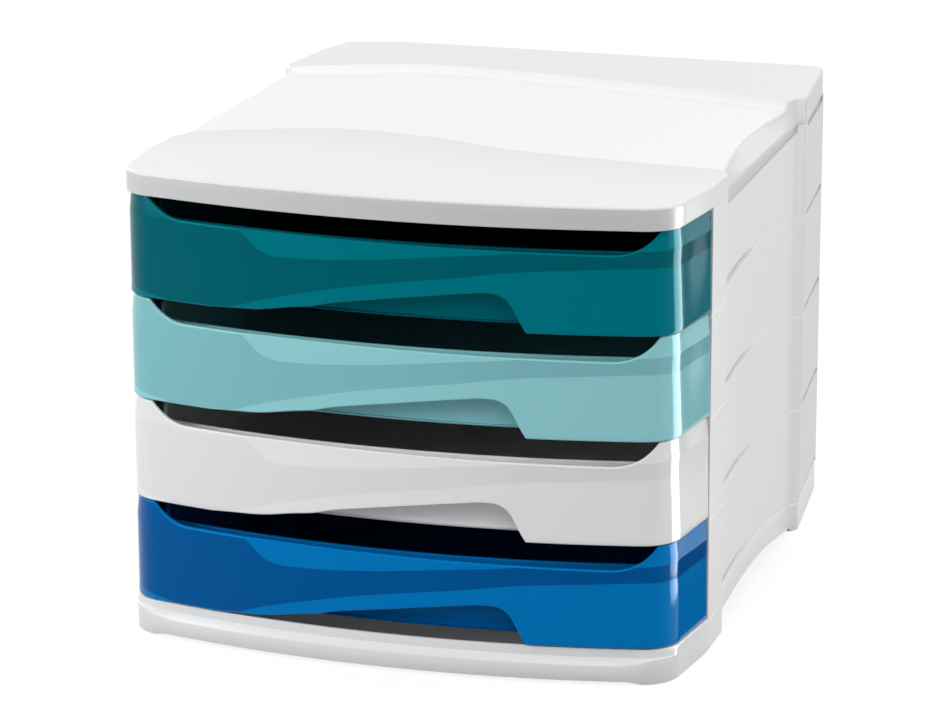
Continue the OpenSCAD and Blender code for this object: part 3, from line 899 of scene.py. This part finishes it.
def crescent(s):
    """How far the tray's right edge stands in from the side."""
    start, end = CRESCENT_Y
    y = roof_place(s)[1]
    if s < 0 or not start < y < end:
        return 0.0
    return CRESCENT_D * math.sin(math.pi * (y - start) / (end - start)) ** 0.9


def roof_section(s):
    """Open section of the fascia: from the top, down its face, under it and up inside."""
    y = roof_place(s)[1]
    inset = crescent(s)
    radius = float(np.interp(y, *ROOF_EDGE))
    radius = 1.2 + (radius - 1.2) * max(0.0, 1 - inset / 2)
    lean = FASCIA_LEAN * ease((LEAN_END - abs(s)) / 40)
    high = roof_height(*roof_place(s, inset + radius))
    low = ROOF_SEAT_Z if y > COLUMN_START else FASCIA_Z
    inner = WALL + lean
    rows = [row[:2] for row in arc((inset, high), (0, -radius), (radius, 0), steps=6)[::-1]]
    top_rows = len(rows) - 1
    rows += [(lean * 0.5 + inset * 0.5, 0.5 * (high - radius + CRESCENT_FOOT_Z + 0.6)),
             (lean, CRESCENT_FOOT_Z + 0.6), (lean, low + 0.6), (lean + 0.17, low + 0.17),
             (lean + 0.6, low), (inner, low), (inner, low + 2.0), (inner + inset, CEILING_Z)]
    # Painted tones: the rounded top edge takes a middle tone, the front fascia a dark painted
    # shade, the crescent facet a middle painted shade, the sides a pale painted highlight and
    # the rear face the rear painted shade.
    side = REAR_PAINTED_SHADE if y > REAR_COLUMN + 1 else 0.45 if inset > 0.5 else 0.9
    return [(depth, z, 0.6 if i < top_rows else side if abs(s) > 155 else 0.1)
            for i, (depth, z) in enumerate(rows)]


# %% The top of the roof
GRID_MM = 7.0
EDGE_MM = 2.2
RIDGE_STEP = 3.5
RIDGE_SHARES = (-0.5, -0.12, 0.0, 0.14, 0.35, 0.62, 1.0, 1.4)


def inside(loop, x, y, margin):
    """Whether a place lies inside a loop of places, more than margin from its points."""
    px, py = loop[:, 0], loop[:, 1]
    qx, qy = np.roll(px, -1), np.roll(py, -1)
    spans = (py > y) != (qy > y)
    crossing = px + (y - py) * (qx - px) / np.where(spans, qy - py, 1.0)
    return (np.count_nonzero(spans & (x < crossing)) % 2 == 1
            and np.min((px - x) ** 2 + (py - y) ** 2) > margin ** 2)


def top_places(loop):
    """Places for the top's mesh: rows along both ridges and a plain grid elsewhere."""
    rows = []
    for ridge, fall, way in ((FRONT_RIDGE, FRONT_FALL_MM, 1), (REAR_RIDGE, REAR_RISE_MM, -1)):
        for share in RIDGE_SHARES:
            row = [(x, curve_at(ridge, x) + way * share * fall)
                   for x in np.arange(-143, 143.1, RIDGE_STEP)]
            rows.append([p for p in row if inside(loop, *p, EDGE_MM)])
    for x in np.arange(-140, 141, GRID_MM):
        near = [curve_at(FRONT_RIDGE, x), curve_at(REAR_RIDGE, x)]
        for y in np.arange(-171, 173, GRID_MM):
            if (abs(y - near[0] - 2) > 7 and abs(y - near[1] + 2) > 9
                    and inside(loop, x, y, EDGE_MM + 1)):
                rows.append([(x, y)])
    return rows


def close_roof(bm):
    """Fill the ceiling, lay the top into the upper loop, and add the stop rib."""
    upper, lower = open_loops(bm)
    bm.faces.new(lower)
    loop = np.array([(v.co.x / MM, v.co.y / MM) for v in upper])
    places, rows = [tuple(p) for p in loop], []
    for row in top_places(loop):
        rows += [(len(places) + i, len(places) + i + 1) for i in range(len(row) - 1)]
        places += row
    result = geometry.delaunay_2d_cdt([Vector(p) for p in places], rows,
                                      [list(range(len(loop)))], 1, 1e-5)
    verts = []
    for place, given in zip(result[0], result[3]):
        ring = [i for i in given if i < len(loop)]
        if ring:
            verts.append(upper[ring[0]])
        else:
            verts.append(bm.verts.new((place.x * MM, place.y * MM,
                                       roof_height(place.x, place.y) * MM)))
    # Painted tones on the top: the front plateau is painted darker towards its ridge, the rear
    # plateau takes a middle painted shade, and the tray between them the paler painted
    # highlight.
    layer = bm.faces.layers.float["facet"]
    for face in result[2]:
        flat = bm.faces.new([verts[i] for i in face])
        x, y = flat.calc_center_median().xy / MM
        ahead, behind = curve_at(FRONT_RIDGE, x) - y, y - curve_at(REAR_RIDGE, x)
        flat[layer] = (0.35 + 0.3 * min(1.0, ahead / 60) if ahead > 0
                       else 0.45 if behind > 0 else 1.0)
    prism(bm, rectangle(-LUG_HALF_W, LUG_HALF_W, *STOP_Y), ROOF_STOP_LOW, CEILING_Z + 0.2)


# %% Make the roof
def side_s(line, y):
    """Length from a closed plan's middle to a place y on its right side."""
    at = lengths(line) - lengths(line)[-1] / 2
    right = [(p[1], s) for p, s in zip(line, at) if s > 150 and p[0] > 130]
    return float(np.interp(y, *zip(*right)))


def side_zones(line):
    """Close stations at the bends and the steps down both sides of a closed plan."""
    zones = [(side_s(line, y) - reach, side_s(line, y) + reach, step) for y, reach, step in
             ((COLUMN_START, 0.15, 0.3), (COLUMN_END + 2.2, 7.0, 0.7),
              (PANEL_END + 2.2, 14.0, 0.9), (REAR_Y - 2, 5.0, 0.8))]
    return both_sides([(112, 124, 2.0), (125, 151, 1.0)] + zones)


blank = loft("roof_blank", stations(-ROOF_HALF, ROOF_HALF, 3.2, side_zones(roof_line)),
             roof_section, ring=True)
roof = wrap("moulded_roof", blank, roof_line, HOUSING, change=close_roof)
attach(roof, "housing")
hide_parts("roof_cover")
print("roof:", len(roof.data.polygons), "faces")

# %% [markdown]
# ## Plinth
# The plinth is a low ring that carries everything. Its fascia has a bevel and a set-back
# strip, which run out into the corners. Between its four feet the edge stands clear of the
# desk, in a low arch along each side. The deck with its two guide rails closes it above.

# %% The section of the plinth
PLINTH_PROUD = 1.5
BEVEL_Z = (9.6, 13.0)
STRIP_BACK = 3.0
STRIP_END = 150
BAND_TOP = 17.4
SEAT_Z = 15.8
DECK_Z = (13.8, 17.8)
FOOT_Z = 0.3
EDGE_Z = 1.6
ARCH = (6.0, 2.0, 6.5)
FOOT_REACH = 121.0
FLANGE_Y = (80.0, 120.0)
FLANGE_DEPTH = (7.5, 5.6)

plinth_line = body_line(PLINTH_PROUD)
plinth_place = walk(plinth_line)
PLINTH_HALF = lengths(plinth_line)[-1] / 2


def plinth_low(s):
    """Height of the plinth's lower edge: feet, clear edges and the arch along the side."""
    x, y = plinth_place(s)
    t = along_panel(y)
    if 0 < t < 1 and abs(x) > FOOT_REACH:
        return ARCH[0] * (1 - t) + ARCH[1] * t + ARCH[2] * math.sin(math.pi * t)
    return FOOT_Z + (EDGE_Z - FOOT_Z) * ease((FOOT_REACH + 6 - abs(x)) / 9)


def plinth_section(s):
    """Closed section of the plinth's ring at the place s."""
    y = plinth_place(s)[1]
    low = plinth_low(s)
    ahead = y < COLUMN_START
    strip = STRIP_BACK * ease((STRIP_END - abs(s)) / 32) if ahead else 0.0
    start = BEVEL_Z[0] + (BEVEL_Z[1] - 0.4 - BEVEL_Z[0]) * ease((abs(s) - 112) / 26)
    top = BAND_TOP if ahead else SEAT_Z + seam(y)
    wall = WALL + (STRIP_BACK if ahead else 0.0)
    inner = PLINTH_PROUD + TAB_INSET if ahead else WALL
    flange = wall if ahead else float(np.interp(y, FLANGE_Y, FLANGE_DEPTH))
    rows = [(0.5, low), (0.15, low + 0.15), (0.0, low + 0.5), (0.0, start - 0.3),
            (0.03 + strip * 0.08, start + 0.3), (strip, BEVEL_Z[1]), (strip, top - 0.5),
            (strip + 0.15, top - 0.15), (strip + 0.5, top), (inner, top),
            (inner, SEAT_Z - 0.02), (flange, SEAT_Z - 0.02), (flange, DECK_Z[0]),
            (wall, DECK_Z[0] - 0.02), (wall, low)]
    return [(depth, z, 1.0) for depth, z in rows]


# %% Make the plinth
RAIL = (132.0, 133.6)
RAIL_Y = (CORNER_CY, 164.6)
RAIL_H = 5.0
APRON_Z = (2.6, 4.2)
PAD_PLACES = [(121.5, CORNER_CY - 6), (119.0, 153.0)]
PAD_TOP = 1.2
BOSS_R = 10.0
INNER_X = PANEL_X - WALL - 0.2
DECK_FRONT = -132.0
DECK_HALF = [(0, DECK_FRONT), (return_x(DECK_FRONT, TAB_INSET + WALL + 0.2), DECK_FRONT),
             (INNER_X, PANEL_START), (INNER_X, REAR_Y - 39.5),
             (HALF_W - TAPER - WALL - 0.2, REAR_Y - WALL), (0, REAR_Y - WALL)]


def guide_rails(bm, low, high):
    """The rails on both sides that a drawer runs between."""
    for ends in (RAIL, (-RAIL[1], -RAIL[0])):
        prism(bm, rectangle(*ends, *RAIL_Y), low, high)


def finish_plinth(bm):
    """Add the deck, the apron plate, the guide rails and the bosses over the pads."""
    # The deck, apron plate, rails and bosses carry no facet tone, so they take the darker
    # painted shade colour.
    prism(bm, mirrored(DECK_HALF)[1:], *DECK_Z)
    prism(bm, mirrored(front_plan(PLINTH_PROUD + TAB_INSET, -PLINTH_PROUD)), *APRON_Z)
    guide_rails(bm, DECK_Z[1] - 0.5, DECK_Z[1] + RAIL_H)
    for side in (-1, 1):
        for x, y in PAD_PLACES:
            boss = [(side * x + BOSS_R * math.cos(a), y + BOSS_R * math.sin(a))
                    for a in np.linspace(0, 2 * math.pi, 33)[:-1]]
            prism(bm, boss, PAD_TOP, DECK_Z[0] + 0.5)


bend = side_s(plinth_line, PANEL_START)
plinth_zones = side_zones(plinth_line) + both_sides([(bend - 0.15, bend + 0.15, 0.3)])
blank = loft("plinth_blank", stations(-PLINTH_HALF, PLINTH_HALF, 3.5, plinth_zones),
             plinth_section, capped=False)
plinth = wrap("moulded_plinth", blank, plinth_line, HOUSING, change=finish_plinth)
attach(plinth, "housing")
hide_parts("plinth")
print("plinth:", len(plinth.data.polygons), "faces")

# %% [markdown]
# ## Shelves
# A thin shelf between two drawers carries the guide rails of the upper one and a stop rib
# for the lower one. It starts well behind the drawer front, so that only a dark gap shows
# past the wave of the front. Its faces are painted in the housing's darker tone, a painted
# shade.

# %% Make the three shelves
SHELF_T = 2.0
STOP_LOW = 46.0

for n in (1, 2, 3):
    def build_shelf(bm):
        """The slab, its two guide rails and the stop rib under it."""
        base = LEVEL_Z[n]
        prism(bm, mirrored(DECK_HALF)[1:], base, base + SHELF_T)
        guide_rails(bm, base + SHELF_T - 0.3, base + SHELF_T + RAIL_H)
        prism(bm, rectangle(-LUG_HALF_W, LUG_HALF_W, *STOP_Y), DRAWER_Z[n + 1] + STOP_LOW,
              base + 0.3)

    shelf = built(f"moulded_shelf_{n}", build_shelf)
    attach(shelf, "housing")
    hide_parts(f"shelf_{n}")
print("shelves:", 3)

# %% [markdown]
# ## Rear panels
# Each level is closed at the back by a flat panel. A moulding of this size needs a sunk
# field inside a stiff frame to stay flat, and its softened edges show where two levels
# meet.

# %% Make the four rear panels
PANEL_FRAME = 9.0
FIELD_STEP = 1.2
FIELD_DEPTH = 0.7
PANEL_EDGE = 0.5


def back_face(bm):
    """The largest face of a mesh that looks to the rear."""
    bm.normal_update()
    return max((f for f in bm.faces if f.normal.y > 0.9), key=lambda f: f.calc_area())


for n in DRAWER_Z:
    def build_panel(bm):
        """A flat panel with softened edges and a sunk field."""
        prism(bm, rectangle(TAPER - HALF_W, HALF_W - TAPER, REAR_Y - WALL, REAR_Y),
              LEVEL_Z[n], LEVEL_Z[n] + PITCH)
        bmesh.ops.recalc_face_normals(bm, faces=bm.faces)
        bmesh.ops.bevel(bm, geom=list(back_face(bm).edges), offset=PANEL_EDGE * MM,
                        segments=3, profile=0.5, affect="EDGES")
        bmesh.ops.inset_region(bm, faces=[back_face(bm)], thickness=PANEL_FRAME * MM)
        bmesh.ops.inset_region(bm, faces=[back_face(bm)], thickness=FIELD_STEP * MM,
                               depth=-FIELD_DEPTH * MM)

    panel = built(f"rear_wall_{n}", build_panel)
    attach(panel, "housing")
    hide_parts(f"rear_panel_{n}")
print("a rear panel has", len(panel.data.polygons), "faces")

# %% [markdown]
# ## Pads
# The four pads keep the shape that the CAD model gives them and only get their rubber. The
# other CAD pieces, which are hidden from here on, get the same plastic as what stands in
# for them.

# %% Finish the CAD pieces
for name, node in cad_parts.items():
    material = RUBBER if name.startswith("pad") else HOUSING
    if name.startswith("drawer"):
        material = FRONT_PLASTICS[int(name[-1])]
    node.data.materials.clear()
    node.data.materials.append(material)

# %% [markdown]
# ## Studio
# A pale floor, a white surround and soft lamps: above, close by on the left, left rear,
# right, front and rear. A narrow strip lamp beside the right corner only shows as the bright
# line down the glossy corner. The floor and the surround glow white for the camera and in
# reflections, but the light that falls on the tower comes from the lamps and a low grey
# surround. Photographers keep white glare off a saturated gloss with a dark card, and so do
# two cards here, laid where the coloured drawers' returns mirror the floor.

# %% Floor and surround
def glow_strength(tree, dim, bright):
    """Strength that is bright for the camera and in reflections, and dim otherwise."""
    path = add_node(tree, "ShaderNodeLightPath").outputs
    seen = maths(tree, "MAXIMUM", path["Is Camera Ray"], path["Is Glossy Ray"])
    seen = maths(tree, "MAXIMUM", seen, path["Is Transmission Ray"])
    return add_node(tree, "ShaderNodeMapRange", Value=seen, i3=dim, i4=bright).outputs[0]


def floor_material():
    """Matt pale sheet that also glows for the camera, and so keeps a soft shadow."""
    material = new_material("pale_floor")
    tree = material.node_tree
    matt = add_node(tree, "ShaderNodeBsdfDiffuse", Color=linear("#7C7C7C"))
    light = add_node(tree, "ShaderNodeEmission", Strength=glow_strength(tree, 0.0, 0.84))
    both = add_node(tree, "ShaderNodeAddShader", i0=matt.outputs[0], i1=light.outputs[0])
    add_node(tree, "ShaderNodeOutputMaterial", Surface=both.outputs[0])
    return material


def sheet(name, corners, material):
    """A flat object of one or more four-sided faces, given by their corners in metres."""
    mesh = bpy.data.meshes.new(name)
    mesh.from_pydata(corners, [], [range(i, i + 4) for i in range(0, len(corners), 4)])
    mesh.materials.append(material)
    return new_object(name, mesh)


FLOOR_REACH = 9.0
floor_corners = rectangle(-FLOOR_REACH, FLOOR_REACH, -FLOOR_REACH, FLOOR_REACH)
floor = sheet("floor", [(x, y, 0) for x, y in floor_corners], floor_material())

world = bpy.data.worlds.new("surround")
bpy.context.scene.world = world
world.use_nodes = True
sky = world.node_tree
sky.nodes.clear()
glow = add_node(sky, "ShaderNodeBackground", Color=(1, 1, 1, 1),
                Strength=glow_strength(sky, 0.55, 1.0))
add_node(sky, "ShaderNodeOutputWorld", Surface=glow.outputs[0])


# %% Lamps
def softbox(name, place, aim, width, height, power):
    """An area lamp at place that faces aim, all in metres and watts."""
    data = bpy.data.lights.new(name, "AREA")
    data.shape = "RECTANGLE"
    data.size, data.size_y, data.energy = width, height, power
    lamp = new_object(name, data)
    lamp.location = place
    lamp.rotation_euler = (Vector(aim) - Vector(place)).to_track_quat("-Z", "Y").to_euler()
    return lamp


CENTRE = (0.0, 0.0, 0.12)
softbox("lamp_above", (-0.1, 0.2, 1.8), CENTRE, 1.4, 1.4, 6)
softbox("lamp_left", (-0.66, -0.62, 0.36), (-0.1, -0.15, 0.12), 0.45, 0.45, 2.4)
softbox("lamp_left_rear", (-1.5, 1.2, 0.7), CENTRE, 1.0, 1.0, 7)
softbox("lamp_right", (1.6, 0.15, 0.6), CENTRE, 0.8, 1.2, 7.0)
softbox("lamp_front", (0.5, -1.6, 1.3), CENTRE, 1.2, 0.7, 6.5)
softbox("lamp_rear", (0.3, 1.7, 1.2), CENTRE, 1.4, 0.7, 1.5)
strip = softbox("lamp_corner", (0.25, -0.07, 0.10), (0.14, -0.13, 0.1), 0.09, 0.24, 0.6)
strip.visible_camera = False
strip.visible_diffuse = False


# %% Dark card
def card_material():
    """Matt black card."""
    material = new_material("matt_black_card")
    tree = material.node_tree
    matt = add_node(tree, "ShaderNodeBsdfDiffuse", Color=linear("#101010"))
    add_node(tree, "ShaderNodeOutputMaterial", Surface=matt.outputs[0])
    return material


def mirrored_place(y, z):
    """Place just above the floor that the camera sees mirrored in the right return."""
    start = Vector((return_x(y, 0), y, z)) * MM
    to_camera = (camera.location - start).normalized()
    normal = Vector((math.cos(FLARE), -math.sin(FLARE), 0))
    way = 2 * to_camera.dot(normal) * normal - to_camera
    return start + way * ((MM - start.z) / way.z)


CARD_Y = (-190.0, -94.0)
CARD_Z = ((DRAWER_Z[2], DRAWER_Z[1] + FRONT_H + 60), (DRAWER_Z[4], DRAWER_Z[4] + FRONT_H))
card_corners = [mirrored_place(y, z) for low, high in CARD_Z
                for y, z in ((CARD_Y[0], low), (CARD_Y[1], low),
                             (CARD_Y[1], high), (CARD_Y[0], high))]
card = sheet("glare_card", card_corners, card_material())
for ray in ("camera", "diffuse", "shadow", "transmission", "volume_scatter"):
    setattr(card, "visible_" + ray, False)

bpy.context.scene.view_settings.view_transform = "Standard"
